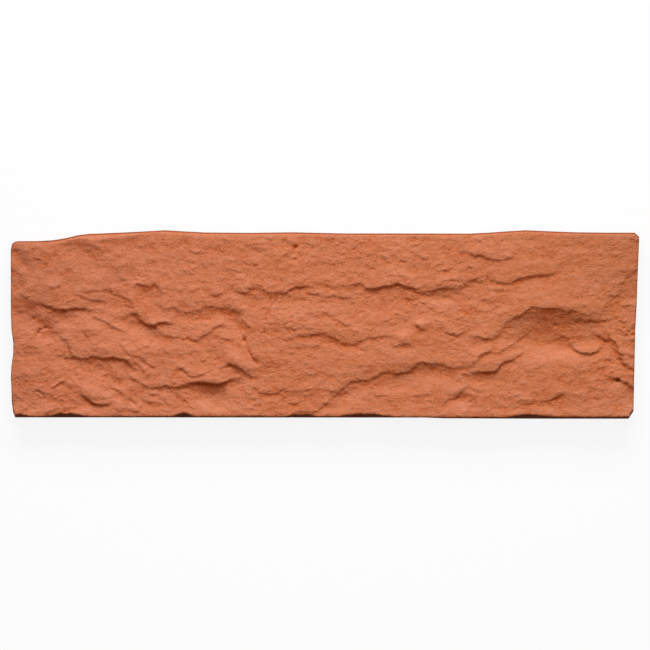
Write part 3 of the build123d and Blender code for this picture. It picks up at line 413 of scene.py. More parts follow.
# Broad hollows and swells: (along %, up %, half length in mm, half height in mm, turn in degrees, rise in mm)
SWELLS = [
    # Left end
    (2.5, 90, 12, 6, 0, 1.0), (4, 79, 14, 8, -20, 0.5), (12, 86, 10, 6, -30, -0.9),
    (18.2, 80.3, 6, 4.5, -20, 1.0), (7, 70, 12, 5, -20, 0.6), (3, 54, 9, 6, -30, -1.5),
    (6, 45, 6, 6, 0, -2.0), (9, 53, 8, 3, 0, -0.8), (3, 25, 8, 6, 0, 0.8), (0, 8, 4, 5, 0, -0.8),
    (3, 7, 8, 4, 0, -0.4), (14.5, 62, 13, 4.5, -10, -0.8), (13.5, 56, 12, 3, -15, -0.6),
    (21.5, 65, 7, 5, 0, -0.7), (17.3, 66, 6, 7, -15, -1.3), (20, 48, 12, 3.5, -27, -1.5),
    (20.5, 52, 9, 3, -35, -0.7), (22.7, 51.5, 4, 2.5, 0, 0.7), (13.5, 46.5, 7, 3, -20, 0.6),
    (17, 42, 8, 3, 0, 0.4), (15.5, 37, 14, 4, -5, 1.1), (19, 31.5, 4, 2, 0, 0.8),
    (12.5, 26, 15, 4, -24, -0.7), (13.5, 13.5, 11, 3.5, -25, 0.9), (8, 15, 5, 3, 0, 0.6),
    (12, 6.5, 10, 3, 0, -0.6), (12.5, 9.5, 4, 2, 0, -0.6), (17.5, 7, 5, 3, 0, 0.6), (19, 20, 5, 3, 0, -0.5),
    # Left of the middle
    (27, 37, 14, 4, 0, 0.8), (31.5, 21.5, 9, 3.5, 0, 1.0), (31.5, 12, 12, 5, -5, -1.8),
    (33, 7, 5, 3, 0, -0.8), (36, 31, 9, 4, -45, 1.8), (41, 33, 8, 5, -15, 1.0), (38.5, 27, 4, 3, 0, 0.5),
    (36, 18, 5, 4, 0, -1.1), (30.5, 54.5, 18, 3.5, 0, -0.8), (36, 49.5, 7, 4, -60, -1.5),
    (41, 62, 18, 4, 0, -0.9), (43.5, 52, 7, 4, 0, 0.6), (32.5, 68, 5, 6, 0, 0.8), (36, 61, 5, 3, -30, 0.7),
    (32.5, 80, 5, 6, 0, 0.5), (39, 69, 5, 3, 0, -0.2), (45, 94, 3, 2.5, 0, 0.6),
    # The middle
    (49, 48.5, 16, 3.5, -8, 0.6), (55, 45, 4, 4, 0, 0.5), (52.5, 39, 14, 2.5, -10, -0.7),
    (49, 27, 18, 5, 0, 0.4), (60.5, 33, 16, 5, 0, 0.8), (66, 26, 8, 2.5, 0, -0.5),
    (61.5, 17.5, 16, 5, 10, -1.3), (54, 13, 8, 4, 35, -1.4), (67.5, 22.5, 12, 3.5, 0, -1.1),
    (47.5, 2.5, 8, 2.5, 10, -1.0), (60.5, 73, 22, 4.5, 0, 0.5), (62, 88, 12, 6, 0, 0.5),
    (59.5, 60, 22, 8, 0, -1.0), (63, 51, 8, 5, 0, -0.5), (58, 41, 6, 2.5, 0, -0.5),
    (68.5, 71.5, 10, 3, 0, 0.6), (68, 63.5, 8, 3, 0, -0.8), (62.3, 43, 4.5, 3.5, 0, 1.2),
    (65.2, 49.6, 3, 2.7, 0, 1.2), (62, 37, 5, 2, 0, -0.6), (69, 49, 4, 3, 0, 0.6),
    # Right of the middle
    (74, 63, 22, 6, 0, -0.6), (76, 59, 8, 4, 0, -0.5), (75.5, 46, 10, 4, 20, 1.2), (72, 34, 6, 6, 0, 0.5),
    (75.5, 29, 10, 4, 15, 0.7), (76, 20, 10, 3.5, 0, -0.8), (73.5, 33, 8, 3, 30, 0.5),
    (71.5, 14.5, 6, 3, 0, 0.4), (71.5, 10.5, 5, 3, 0, -1.1), (75, 88, 10, 3, 0, 0.4),
    (83, 81, 13, 4, 8, 0.4), (88, 70, 24, 9, 5, 0.4),
    # Right end
    (86, 43, 22, 8, 0, -2.6), (88, 37.5, 19, 5, 0, -1.8), (81.5, 40, 9, 6, 40, -0.8),
    (92.5, 40, 8, 5, 0, -0.8), (87.5, 60, 22, 6, 0, 1.2), (91.5, 37.5, 6, 3, 0, 1.3),
    (97, 36, 12, 3, -57, 0.9), (98.5, 12, 6, 6, 0, -1.2), (99, 66, 9, 10, 0, -0.8),
    (95.5, 78, 7, 5, 60, 0.5), (86.5, 14.5, 6, 3, 0, 0.4), (87, 9, 6, 3, 0, -0.5),
    (96.5, 19.5, 5, 2, 0, -0.5)]

# Pits left by air and lost grains, and pebbles where the depth is less than nothing:
# (along %, up %, radius in mm, depth in mm)
PITS = [(45.3, 90.9, 1.2, 1.8), (45.1, 89.3, 0.8, 1.5), (45.1, 87.6, 0.7, 1.2), (45.4, 84.2, 0.9, 0.9),
        (46.6, 83, 0.6, 0.5), (47.4, 82.3, 0.7, 0.6), (80.5, 88.8, 0.6, 0.6), (20.5, 75.5, 1.5, -0.6),
        (20.5, 75.5, 0.8, 1.1), (40.5, 52.5, 0.9, 0.6), (43.7, 94.5, 0.7, 0.6), (98.8, 44.5, 0.7, 0.8),
        (96.4, 20.6, 0.9, 2.4), (5.7, 48.3, 1, 1.4), (6.3, 47.6, 0.8, 0.8), (4.7, 45.6, 0.9, 1.3),
        (4.8, 47.4, 0.7, 0.8), (5.5, 46.3, 0.9, -0.8), (4.3, 44.6, 0.7, 0.7), (37.2, 41.6, 0.8, 1.6),
        (86.5, 49.6, 0.7, 0.6), (61.2, 54.9, 1.5, -0.8), (61.2, 54.9, 0.7, 1.3), (10.6, 22.8, 0.7, 1),
        (98, 46, 0.8, 1.1), (98.7, 47.6, 0.7, 0.9), (97.3, 47.8, 0.7, 0.9), (97.6, 44.3, 0.6, 0.8),
        (91.8, 24.9, 0.6, 0.7), (1.8, 56.2, 0.7, 0.8), (3.9, 53, 0.7, 0.8), (8.6, 33.4, 0.7, 0.7),
        (97, 71, 0.7, 0.8), (97.8, 74, 0.6, 0.8), (72.9, 9.4, 0.7, 0.7)]

# The lines run along the foot of the broken edges, and this is how much higher their tops are, in mm
EDGE_ABOVE_LINE = 1.0
# Places about this far apart, in mm, round the lines of the lips and of the valleys
LIP_SPACING = 1.5
VALLEY_SPACING = 2.5
# The drop of the small lips as a share of the one in their list, their scoop as shares of the drop and of
# the reach, and the width of their broken edge in mm
SMALL_LIP_SHARE = 0.88
SMALL_SCOOP = (0.3, 0.6)
SMALL_EDGE = 0.4

# Ragged scales of the cleft rock, too small to follow one by one: the ranges of half their length, of the
# drop and of the reach in mm, the spread of their slope, how far their middle hangs down as a share of half
# the length, and the reach of the scoop and the width of the broken edge in mm
SCALES = 3000
SCALE_SEED = 11
SCALE_HALVES = (0.8, 3.2)
SCALE_DROPS = (0.12, 0.44)
SCALE_REACHES = (1.2, 3)
SCALE_SLOPES = 0.4
SCALE_SAGS = (-0.2, 0.7)
SCALE_SCOOP = (0.3, 1.2)
SCALE_EDGE = 0.35

# How far, in mm, the lines of the lips are put out of true, and the length and height of that wander, with
# a seed for each direction
WANDER = (0.4, 2.8, 2.2)
WANDER_SEEDS = (3.5, 8.5)

# Thin beds that end in the face: (rise in mm, spacing in mm, length and height of their bends in mm, seed)
THIN_BEDS = [(0.22, 5.2, 6, 4.5, 12.5), (0.2, 2.9, 3, 2.6, 14.5)]
BED_BENDS = 2.1
BED_RISE = 0.16

# Soft waves: (rise in mm, length and height of a wave in mm, seed), and those of the broken rock alone
WAVES = [(0.35, 42, 26, 1.5), (0.35, 13, 6.5, 5.5), (0.18, 4, 2.9, 7.5)]
BROKEN_WAVE = (0.1, 1.6, 1.3, 9.5)

# The broken rock comes in patches: its mean and how much that changes, their length and height in mm, seed,
# and the least and most of it
BROKEN_MEAN = 0.6
BROKEN_CHANGE = 1.2
BROKEN_PATCHES = (34, 22, 2.5)
BROKEN_RANGE = (0.15, 1)
LEAST_BROKEN = 0.1

# Where the cleft rock is rougher, or smoother, than it is elsewhere:
# (along %, up %, half length in mm, half height in mm, how much more)
BROKEN_AREAS = [(45, 86, 55, 16, 0.35), (22, 9, 26, 13, 0.5), (45, 57, 20, 9, 0.5), (96.5, 42, 14, 34, 0.4),
                (45, 66, 30, 12, 0.15), (86, 70, 20, 40, -0.4), (19, 84, 40, 15, -0.25),
                (65, 19, 30, 9, -0.5), (56, 31, 25, 9, -0.35), (31.5, 10, 10, 8, -0.8),
                (85, 43, 22, 10, -0.4), (14, 38, 20, 6, -0.4), (84, 22, 26, 8, -0.2)]


def smooth_line(points, spacing):
    """A line through given places, rounded as a Catmull-Rom curve with places about a spacing apart."""
    nodes = np.array(points, float)
    padded = np.vstack([2 * nodes[0] - nodes[1], nodes, 2 * nodes[-1] - nodes[-2]])
    curve = []
    for before, start, end, after in zip(padded, padded[1:], padded[2:], padded[3:]):
        count = max(1, round(math.dist(start[:2], end[:2]) / spacing))
        t = np.arange(count)[:, None] / count
        bow = 2 * before - 5 * start + 4 * end - after
        twist = 3 * start - before - 3 * end + after
        curve.append(0.5 * (2 * start + (end - before) * t + bow * t ** 2 + twist * t ** 3))
    return np.vstack(curve + [nodes[-1:]])


def beside_line(x, y, line):
    """Distance of each place from a line, positive on its left side, and the line's own value there."""
    starts, runs = line[:-1, :2], np.diff(line[:, :2], axis=0)
    lengths = np.linalg.norm(runs, axis=1)
    normals = np.stack([-runs[:, 1], runs[:, 0]], axis=1) / lengths[:, None]
    corners = np.vstack([normals[:1], normals[:-1] + normals[1:], normals[-1:]])
    nearest = np.full(x.shape, np.inf)
    distance = np.zeros(x.shape)
    value = np.zeros(x.shape)
    for i, (start, run) in enumerate(zip(starts, runs)):
        off_x, off_y = x - start[0], y - start[1]
        share = np.clip((off_x * run[0] + off_y * run[1]) / lengths[i] ** 2, 0, 1)
        gap_x, gap_y = off_x - share * run[0], off_y - share * run[1]
        gap = np.hypot(gap_x, gap_y)
        normal_x = np.where(share <= 0, corners[i, 0], np.where(share >= 1, corners[i + 1, 0], normals[i, 0]))
        normal_y = np.where(share <= 0, corners[i, 1], np.where(share >= 1, corners[i + 1, 1], normals[i, 1]))
        side = np.where(gap_x * normal_x + gap_y * normal_y >= 0, 1.0, -1.0)
        closer = gap < nearest
        nearest = np.where(closer, gap, nearest)
        distance = np.where(closer, gap * side, distance)
        value = np.where(closer, line[i, 2] + share * (line[i + 1, 2] - line[i, 2]), value)
    return distance, value


def add_lip(height, x, y, line, reach, scoop, edge, brow=(0, 1), skirt=(0, 1)):
    """Adds one flake: its top sinks back up the stone over the reach, and a scoop is cut under its lip."""
    line[:, 2] = np.maximum(line[:, 2], 0)
    scoop_depth, scoop_reach = scoop
    brow_depth, brow_width = brow
    skirt_share, skirt_reach = skirt
    margin = 4 * max(reach, scoop_reach, skirt_reach)
    low, high = line[:, :2].min(axis=0) - margin, line[:, :2].max(axis=0) + margin
    near = (x > low[0]) & (x < high[0]) & (y > low[1]) & (y < high[1])
    distance, drop = beside_line(x[near], y[near], line)
    most = max(line[:, 2].max(), 1e-6)
    hollow = scoop_depth * drop / most
    roll = brow_depth * drop / most
    behind, before = np.maximum(distance, 0), np.minimum(distance, 0)
    above = (drop - hollow) * np.exp(-behind / reach) - roll * np.exp(-behind / brow_width)
    broken_edge = (1 - skirt_share) * np.exp(before / edge) + skirt_share * np.exp(before / skirt_reach)
    below = (drop - roll) * broken_edge - hollow * np.exp(before / scoop_reach)
    height[near] += np.where(distance > 0, above, below)


def faded(points, drop):
    """A line with its drop or its depth, which fades to nothing at both ends."""
    line = np.array(points, float)
    first, last = line[0] * 2 - line[1], line[-1] * 2 - line[-2]
    line = np.vstack([(first + line[0]) / 2, line, (last + line[-1]) / 2])
    drops = np.full(len(line), drop)
    drops[[0, -1]] = 0
    return np.column_stack([line, drops])


def in_mm(line):
    """A line in mm, along the top of the broken edge."""
    return np.column_stack([along_mm(line[:, 0]), up_mm(line[:, 1]) + EDGE_ABOVE_LINE, line[:, 2]])


def rough(x, y, long_mm, high_mm, seed, octaves=3):
    """Smooth random relief, about -1 to 1, with lumps of a length and a height."""
    places = zip(x / long_mm, y / high_mm)
    return np.array([noise.fractal(Vector((a, b, seed)), 1.0, 2.0, octaves) for a, b in places])


def cleavage(x, y, period, long_mm, high_mm, seed):
    """Thin ragged beds of cleft rock: each rises sharply going up the stone and then sinks back, 0 to 1."""
    phase = y / period + BED_BENDS * rough(x, y, long_mm, high_mm, seed, 2)
    share = phase - np.floor(phase)
    return np.where(share < BED_RISE, share / BED_RISE, (1 - share) / (1 - BED_RISE))


def mound(x, y, along, up, half_long, half_high, turn=0):
    """1 in the middle of an oval area, and falling softly to nothing around it."""
    cosine, sine = math.cos(math.radians(turn)), math.sin(math.radians(turn))
    off_x, off_y = x - along_mm(along), y - up_mm(up)
    lengthways = (off_x * cosine + off_y * sine) / half_long
    crossways = (off_y * cosine - off_x * sine) / half_high
    return np.exp(-lengthways ** 2 - crossways ** 2)


def brokenness(x, y):
    """How rough the cleft rock is at places in mm, about 1."""
    value = 1.0
    for along, up, half_long, half_high, more in BROKEN_AREAS:
        value = value + more * mound(x, y, along, up, half_long, half_high)
    return np.maximum(value, LEAST_BROKEN)


def riven_height(x, y):
    """Height of the riven face over its bed, in mm, at places in mm."""
    far, *size = WANDER
    sx, sy = (value + far * rough(x, y, *size, seed) for value, seed in zip((x, y), WANDER_SEEDS))
    height = np.zeros(x.shape)
    for lip in GREAT_LIPS:
        values = {name: value for name, value in lip.items() if name != "line"}
        add_lip(height, sx, sy, smooth_line(in_mm(np.array(lip["line"], float)), LIP_SPACING), **values)
    for drop, reach, points in SMALL_LIPS:
        drop *= SMALL_LIP_SHARE
        line = smooth_line(in_mm(faded(points, drop)), LIP_SPACING)
        add_lip(height, sx, sy, line, reach, (SMALL_SCOOP[0] * drop, SMALL_SCOOP[1] * reach), SMALL_EDGE)
    for depth, half_width, points in VALLEYS:
        distance, here = beside_line(x, y, smooth_line(in_mm(faded(points, depth)), VALLEY_SPACING))
        height -= here * np.exp(-(distance / half_width) ** 2)
    for along, up, half_long, half_high, turn, rise in SWELLS:
        height += rise * mound(x, y, along, up, half_long, half_high, turn)
    chance = np.random.RandomState(SCALE_SEED)
    steps = np.array([-1, -0.5, 0, 0.5, 1])
    bend = 1 - steps ** 2
    for _ in range(SCALES):
        middle_x, middle_y = along_mm(chance.uniform(0, 100)), up_mm(chance.uniform(0, 100))
        half = chance.uniform(*SCALE_HALVES)
        slope = chance.normal(0, SCALE_SLOPES)
        sag = chance.uniform(*SCALE_SAGS) * half
        drop = chance.uniform(*SCALE_DROPS) * brokenness(middle_x, middle_y)
        line = np.column_stack([
            middle_x + half * steps, middle_y + half * steps * slope - sag * bend, drop * bend])
        add_lip(height, sx, sy, line, chance.uniform(*SCALE_REACHES), (SCALE_SCOOP[0] * drop, SCALE_SCOOP[1]),
                SCALE_EDGE)
    patches = BROKEN_MEAN + BROKEN_CHANGE * rough(x, y, *BROKEN_PATCHES, 2)
    broken = brokenness(x, y) * np.clip(patches, *BROKEN_RANGE)
    for rise, *bed in THIN_BEDS:
        height += rise * broken * cleavage(sx, sy, *bed)
    for rise, *wave in WAVES:
        height += rise * rough(x, y, *wave)
    rise, *wave = BROKEN_WAVE
    height += rise * broken * rough(x, y, *wave, 2)
    for along, up, radius, depth in PITS:
        height -= depth * mound(x, y, along, up, radius, radius)
    return height


# The cladding stone: its mesh
# The face is one fine grid. The drafted sides go down from its border, and the flat back, struck off level
# in the mould, closes it.

FACE_COLUMNS = 470
FACE_ROWS = 186
SIDE_RINGS = 5
BACK_COLUMNS = 100
BACK_ROWS = 30
# While they are joined, the back's grid is this share of the face's and hangs this far below it
BACK_GRID_SHARE = 0.98
SIDE_DROP = 0.1
# Once the stone has its size, the back's grid ends inside the foot of the sides, at this share of the way
BACK_SHARE = 0.994
# How far the face falls at its edge, and over how far, in mm
EDGE_FALL = 0.5
EDGE_ROUNDING = 0.5
stone_shape = bmesh.new()
bmesh.ops.create_grid(stone_shape, x_segments=FACE_COLUMNS, y_segments=FACE_ROWS, size=0.5)
across = stone_shape.verts.layers.float.new("across")
upward = stone_shape.verts.layers.float.new("upward")
depth = stone_shape.verts.layers.float.new("depth")
for vert in stone_shape.verts:
    vert[across] = vert.co.x + 0.5
    vert[upward] = vert.co.y + 0.5

rim = [edge for edge in stone_shape.edges if edge.is_boundary]
for ring in range(1, SIDE_RINGS + 1):
    made = bmesh.ops.extrude_edge_only(stone_shape, edges=rim)["geom"]
    rim = [item for item in made if isinstance(item, bmesh.types.BMEdge) and item.is_boundary]
    for vert in {vert for edge in rim for vert in edge.verts}:
        vert[depth] = ring / SIDE_RINGS
        vert.co.z = -SIDE_DROP * vert[depth]

back = bmesh.ops.create_grid(stone_shape, x_segments=BACK_COLUMNS, y_segments=BACK_ROWS,
                             size=BACK_GRID_SHARE / 2)["verts"]
for vert in back:
    vert[across] = vert.co.x / BACK_GRID_SHARE + 0.5
    vert[upward] = vert.co.y / BACK_GRID_SHARE + 0.5
    vert[depth] = 2.0
    vert.co.z = -SIDE_DROP
back_faces = list({face for vert in back for face in vert.link_faces})
bmesh.ops.reverse_faces(stone_shape, faces=back_faces)
back_rim = list({edge for vert in back for edge in vert.link_edges if edge.is_boundary})
bmesh.ops.bridge_loops(stone_shape, edges=rim + back_rim)

stone_mesh = bpy.data.meshes.new("cladding_stone_body")
stone_shape.to_mesh(stone_mesh)
stone_shape.free()


def read_values(mesh, name):
    """The values of a mesh's attribute, one for each vertex."""
    values = np.zeros(len(mesh.vertices))
    mesh.attributes[name].data.foreach_get("value", values)
    return values


u, v, down = (read_values(stone_mesh, name) for name in ("across", "upward", "depth"))
on_face, on_back = down == 0, down > 1
face_x, face_y = stone_plan(u, v, 1.0)
left_x, _ = stone_plan(0 * u, v, 1.0)
right_x, _ = stone_plan(0 * u + 1, v, 1.0)
_, low_y = stone_plan(u, 0 * v, 1.0)
_, high_y = stone_plan(u, 0 * v + 1, 1.0)
to_edge = np.min([face_x - left_x, right_x - face_x, face_y - low_y, high_y - face_y], axis=0)
face_z = np.zeros(len(u))
face_z[~on_back] = riven_height(face_x[~on_back], face_y[~on_back])
face_z -= EDGE_FALL * np.exp(-np.maximum(to_edge, 0) / EDGE_ROUNDING)
face_z += STONE_THICKNESS - face_z[on_face].max()

x, y = stone_plan(u, v, np.where(down < 1, 1 - down, 0))
x, y = (np.where(on_back, value * BACK_SHARE, value) for value in (x, y))
z = np.where(on_back, 0.0, face_z * (1 - down))
stone_mesh.vertices.foreach_set("co", (np.column_stack([x, y, z]) * MM).ravel())
stone_mesh.update()
for polygon in stone_mesh.polygons:
    polygon.use_smooth = True
stone = bpy.data.objects.new("cladding_stone_body", stone_mesh)
bpy.context.scene.collection.objects.link(stone)

# The cladding stone: where its colour changes
# Painted shade makes the colour deeper, darker and more red in the recesses, under the lips and on the sides
# and back, and painted light makes it lighter on the crests and on the slopes that face up the stone. Painted
# shade also darkens the upper corners a little. The mesh carries both, for the concrete to read.

# What each mm under the mean height around a place counts towards the painted shade, and that just beside it,
# and each mm that the face rises in a mm up the stone, on slopes turned from the lamps, within a range. Below
# nothing the count turns into painted light.
AROUND_COUNTS = 0.5
BESIDE_COUNTS = 1.3
LEAN_COUNTS = 1.7
LEAN_RANGE = (-0.5, 1)
# The half sizes of those neighbourhoods, in rows and columns of the face
AROUND_SIZE = (5, 3)
BESIDE_SIZE = (2, 1)
LEAN_SIZE = (1, 1)
# The painted shade of the drafted sides and the back
SIDE_PAINTED_SHADE = 2.0

# Painted shade, the concrete a little darker: (along %, up %, half length in mm, half height in mm, how much)
PAINTED_SHADE_AREAS = [(2, 76, 45, 26, 0.09), (98, 84, 45, 28, 0.1), (83, 66, 30, 20, 0.03)]


def box_blurred(rows, half_rows, half_columns):
    """The mean of each place's neighbourhood in a grid of rows."""
    for axis, half in ((0, half_rows), (1, half_columns)):
        widths = [(0, 0), (0, 0)]
        widths[axis] = (half + 1, half)
        sums = np.cumsum(np.pad(rows, widths, mode="edge"), axis=axis)
        count = rows.shape[axis]
        window = 2 * half + 1
        before, after = range(count), range(window, window + count)
        rows = (np.take(sums, after, axis) - np.take(sums, before, axis)) / window
    return rows


face_column = np.rint(u[on_face] * FACE_COLUMNS).astype(int)
face_row = np.rint(v[on_face] * FACE_ROWS).astype(int)
levels = np.zeros((FACE_ROWS + 1, FACE_COLUMNS + 1))
levels[face_row, face_column] = face_z[on_face]
around = box_blurred(box_blurred(levels, *AROUND_SIZE), *AROUND_SIZE)
beside = box_blurred(box_blurred(levels, *BESIDE_SIZE), *BESIDE_SIZE)
lean = box_blurred(np.gradient(levels, STONE_HEIGHT / FACE_ROWS, axis=0), *LEAN_SIZE)
# Painted shade in hollows and on slopes turned from the lamps, painted light where these fall below nothing
painted_shading_amounts = (AROUND_COUNTS * (around - levels) + BESIDE_COUNTS * (beside - levels)
          + LEAN_COUNTS * np.clip(lean, *LEAN_RANGE))
painted_shading = np.full(len(u), SIDE_PAINTED_SHADE)
painted_shading[on_face] = painted_shading_amounts[face_row, face_column]
# Painted shade that darkens the upper corners and a patch on the right
shade = sum(much * mound(face_x, face_y, *area) for *area, much in PAINTED_SHADE_AREAS)
for name, values in (("painted_shading", painted_shading), ("shade", shade)):
    stone_mesh.attributes.new(name, "FLOAT", "POINT").data.foreach_set("value", values)

# The cladding stone: its concrete
# Fine sand and cement, coloured right through with iron oxide. The cast face is matt and sandy, with painted
# light making it a little lighter on what stands proud and painted shade making it more red in the recesses.

# The middle colour of the left end and of the right end, the painted light of crests, and the painted shade
# of two levels of hollow
PINKER_COLOUR = (0.603, 0.184, 0.085, 1)
YELLOWER_COLOUR = (0.603, 0.184, 0.073, 1)
PAINTED_LIGHT_COLOUR = (0.64, 0.232, 0.13, 1)
PAINTED_SHADE_COLOUR = (0.52, 0.095, 0.017, 1)
PAINTED_DEEP_SHADE_COLOUR = (0.2, 0.04, 0.012, 1)
# How much darker each unit of painted shading makes the tone, how much each texture of the sand changes it,
# and the tones between which the darkest painted shade comes in
PAINTED_SHADING_TONE = -0.6
SAND_TONE = 1.9
COARSE_TONE = 1.5
SMUDGE_TONE = 1.3
PATCH_TONE = 0.8
PAINTED_DEEP_SHADE_TONES = (-1.1, -2.3)
# The mm over which the colour turns yellower to the right, and how far clouds move that
YELLOWER_RANGE = 400
MATT = 0.85
SHEEN = 0.15
# Relief finer than the mesh, in mm, and the spacing and the bends of the thinnest beds
SAND_RELIEF = 0.5
COARSE_RELIEF = 0.36
BED_RELIEF = 0.09
BED_SPACING = 2.2
BED_SHIFT = 6
BED_SOFTNESS = 0.2
BED_AREAS = (0.4, 0.65)

concrete = bpy.data.materials.new("terracotta_concrete")
concrete.use_nodes = True
nodes, links = concrete.node_tree.nodes, concrete.node_tree.links
shader = nodes["Principled BSDF"]


def math_node(operation, first, second=0.0, clamp=False):
    """The result of a Math node, from sockets or numbers."""
    node = nodes.new("ShaderNodeMath")
    node.operation = operation
    node.use_clamp = clamp
    for socket, value in zip(node.inputs, (first, second)):
        if isinstance(value, bpy.types.NodeSocket):
            links.new(value, socket)
        else:
            socket.default_value = value
    return node.outputs[0]


def in_places(scale):
    """Object coordinates times a scale, which is the number of lumps in a mm along each axis."""
    node = nodes.new("ShaderNodeVectorMath")
    node.operation = "MULTIPLY"
    links.new(places.outputs["Object"], node.inputs[0])
    node.inputs[1].default_value = [part / MM for part in scale]
    return node.outputs[0]


def lumps(scale, detail=2.0, roughness=0.5, shift=0.0):
    """Random lumps about 0.5, as a value."""
    node = nodes.new("ShaderNodeTexNoise")
    node.noise_dimensions = "4D"
    node.inputs["W"].default_value = shift
    node.inputs["Scale"].default_value = 1
    node.inputs["Detail"].default_value = detail
    node.inputs["Roughness"].default_value = roughness
    links.new(in_places(scale), node.inputs["Vector"])
    return node.outputs[0]


def ranged(value, low, high):
    """0 where the value is low or less, 1 where it is high or more."""
    node = nodes.new("ShaderNodeMapRange")
    node.inputs["From Min"].default_value = low
    node.inputs["From Max"].default_value = high
    links.new(value, node.inputs["Value"])
    return node.outputs["Result"]


def mixed(share, first, second):
    """A colour between two, at a share of the way."""
    node = nodes.new("ShaderNodeMix")
    node.data_type = "RGBA"
    for name, value in (("Factor", share), ("A", first), ("B", second)):
        if isinstance(value, bpy.types.NodeSocket):
            links.new(value, node.inputs[name])
        else:
            node.inputs[name].default_value = value
    return node.outputs["Result"]


places = nodes.new("ShaderNodeTexCoord")
painted_shading_value = nodes.new("ShaderNodeAttribute")
painted_shading_value.attribute_name = "painted_shading"

sand = lumps((1.0, 1.15, 1.15))
coarse_sand = lumps((0.6, 0.7, 0.7), shift=4.0)
patches = lumps((0.035, 0.05, 0.05), shift=9.0)
smudges = lumps((0.16, 0.22, 0.22), shift=15.0)

# Colour: painted shade deep in the recesses and under the lips, and painted light on the crests, with lighter
# and darker grains of sand. The grains use the lumps of the bump, so those that stand up are lighter and
# those that sink are darker, partly painted light and shade.
tone = math_node("MULTIPLY", painted_shading_value.outputs["Fac"], PAINTED_SHADING_TONE)
for value, share in ((sand, SAND_TONE), (coarse_sand, COARSE_TONE), (smudges, SMUDGE_TONE),
                     (patches, PATCH_TONE)):
    tone = math_node("ADD", tone, math_node("MULTIPLY", math_node("SUBTRACT", value, 0.5), share))
separate = nodes.new("ShaderNodeSeparateXYZ")
links.new(in_places((1, 1, 1)), separate.inputs[0])
clouds = math_node("MULTIPLY", lumps((0.02, 0.03, 0.03), shift=33.0), YELLOWER_RANGE)
yellower = ranged(math_node("ADD", separate.outputs["X"], clouds), 0, YELLOWER_RANGE)
medium = mixed(yellower, PINKER_COLOUR, YELLOWER_COLOUR)
with_painted_light = mixed(math_node("MAXIMUM", tone, 0, clamp=True), medium, PAINTED_LIGHT_COLOUR)
with_painted_shade = mixed(math_node("MAXIMUM", math_node("MULTIPLY", tone, -1), 0, clamp=True), with_painted_light, PAINTED_SHADE_COLOUR)
# The darkest painted shade, where the painted shading is deepest: in pits and on the sides and back
with_painted_shade = mixed(ranged(tone, *PAINTED_DEEP_SHADE_TONES), with_painted_shade, PAINTED_DEEP_SHADE_COLOUR)
# Painted shade: the colour is mixed toward black over the upper corners
shade_value = nodes.new("ShaderNodeAttribute")
shade_value.attribute_name = "shade"
links.new(mixed(shade_value.outputs["Fac"], with_painted_shade, (0, 0, 0, 1)), shader.inputs["Base Color"])
shader.inputs["Roughness"].default_value = MATT
shader.inputs["Specular IOR Level"].default_value = SHEEN

# Bump: sand, and the broken edges of beds as thin as paper
shift = math_node("MULTIPLY", lumps((0.34, 0.45, 0.45), 3, 0.6, 21.0), BED_SHIFT)
bed = math_node("FRACT", math_node("ADD", math_node("DIVIDE", separate.outputs["Y"], BED_SPACING), shift))
beds = math_node("MINIMUM", ranged(bed, 0, BED_SOFTNESS), ranged(bed, 1, BED_SOFTNESS))
broken = ranged(lumps((0.05, 0.09, 0.09), shift=27.0), *BED_AREAS)
fine_relief = math_node("MULTIPLY", math_node("MULTIPLY", beds, broken), BED_RELIEF)
for value, height in ((sand, SAND_RELIEF), (coarse_sand, COARSE_RELIEF)):
    fine_relief = math_node("ADD", fine_relief, math_node("MULTIPLY", value, height))
bump = nodes.new("ShaderNodeBump")
bump.inputs["Strength"].default_value = 1
bump.inputs["Distance"].default_value = MM
links.new(fine_relief, bump.inputs["Height"])
links.new(bump.outputs["Normal"], shader.inputs["Normal"])
stone_mesh.materials.append(concrete)

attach(stone, "root")
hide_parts("cladding_stone")

# The floor, the lights and the camera
# White paper on a level table, under two soft boxes on the side of the stone's upper edge, so that every
# ledge is shaded below. The camera looks straight down.

# To the eye the paper is white, with most of it shining evenly, and in its light on the stone it is dim
SHINING = 0.88
SHOWN_GREY = 0.115
DIM_GREY = 0.02
FILL_LIGHT = 0.05

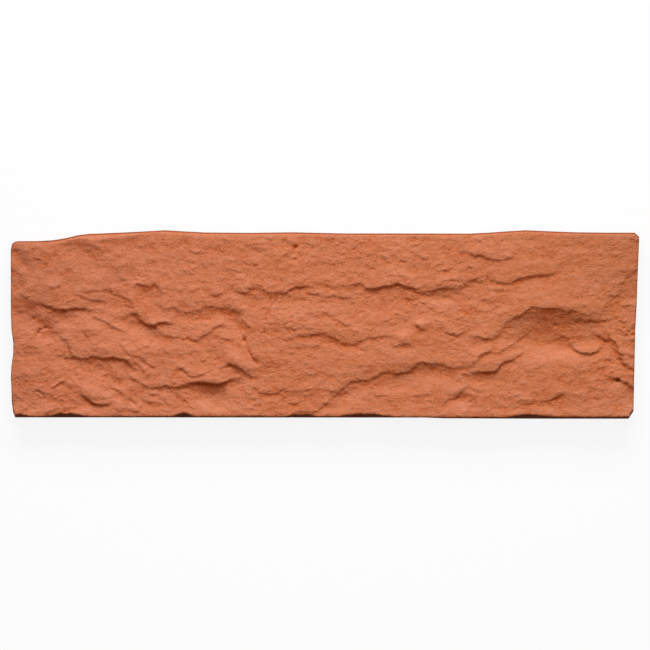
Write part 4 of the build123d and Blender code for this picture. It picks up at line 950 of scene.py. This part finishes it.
floor_mesh = bpy.data.meshes.new("floor")
floor_shape = bmesh.new()
bmesh.ops.create_grid(floor_shape, x_segments=1, y_segments=1, size=6)
floor_shape.to_mesh(floor_mesh)
floor_shape.free()
floor = bpy.data.objects.new("floor", floor_mesh)
bpy.context.scene.collection.objects.link(floor)
paper = bpy.data.materials.new("white_paper")
paper.use_nodes = True
nodes, links = paper.node_tree.nodes, paper.node_tree.links
paper_shader = nodes["Principled BSDF"]
paper_shader.inputs["Roughness"].default_value = 1
paper_shader.inputs["Specular IOR Level"].default_value = 0
path = nodes.new("ShaderNodeLightPath")
seen = path.outputs["Is Camera Ray"]
for kind in ("Is Glossy Ray", "Is Transmission Ray"):
    seen = math_node("MAXIMUM", seen, path.outputs[kind])
links.new(math_node("MULTIPLY", seen, SHINING), paper_shader.inputs["Emission Strength"])
paper_shader.inputs["Emission Color"].default_value = (1, 1, 1, 1)
grey = mixed(seen, (DIM_GREY, DIM_GREY, DIM_GREY, 1), (SHOWN_GREY, SHOWN_GREY, SHOWN_GREY, 1))
links.new(grey, paper_shader.inputs["Base Color"])
floor_mesh.materials.append(paper)


def soft_lamp(name, elevation, distance, width, height, share):
    """A soft box on the side of the stone's upper edge, turned to the stone: its elevation in degrees, its
    distance and size in m, and its share of the light under which a colour shows as it is."""
    rise = math.radians(elevation)
    data = bpy.data.lights.new(name, "AREA")
    data.shape = "RECTANGLE"
    data.size, data.size_y = width, height
    data.energy = share * math.pi ** 2 * distance ** 2 / math.sin(rise)
    lamp = bpy.data.objects.new(name, data)
    towards = Vector((0, math.cos(rise), math.sin(rise)))
    lamp.location = towards * distance
    lamp.rotation_euler = towards.to_track_quat("Z", "Y").to_euler()
    lamp.visible_camera = False
    bpy.context.scene.collection.objects.link(lamp)


soft_lamp("key", 36, 2.6, 2.0, 1.2, 0.635)
soft_lamp("top", 84, 0.7, 0.45, 0.45, 0.385)

world = bpy.data.worlds.new("studio")
bpy.context.scene.world = world
world.use_nodes = True
background = world.node_tree.nodes["Background"]
background.inputs["Color"].default_value = (1, 1, 1, 1)
background.inputs["Strength"].default_value = FILL_LIGHT

# The stone takes this much of the width of the picture, and lies a little above its middle
STONE_SHARE = 628.3 / 650
CAMERA_DISTANCE = 3.0
CAMERA_BELOW = 0.0003
camera_data = bpy.data.cameras.new("camera")
camera_data.sensor_width = 36
camera_data.lens = camera_data.sensor_width * CAMERA_DISTANCE * STONE_SHARE / (STONE_LENGTH * MM)
camera = bpy.data.objects.new("camera", camera_data)
camera.location = (0, -CAMERA_BELOW, CAMERA_DISTANCE)
bpy.context.scene.collection.objects.link(camera)
bpy.context.scene.camera = camera
bpy.context.scene.view_settings.view_transform = "Standard"
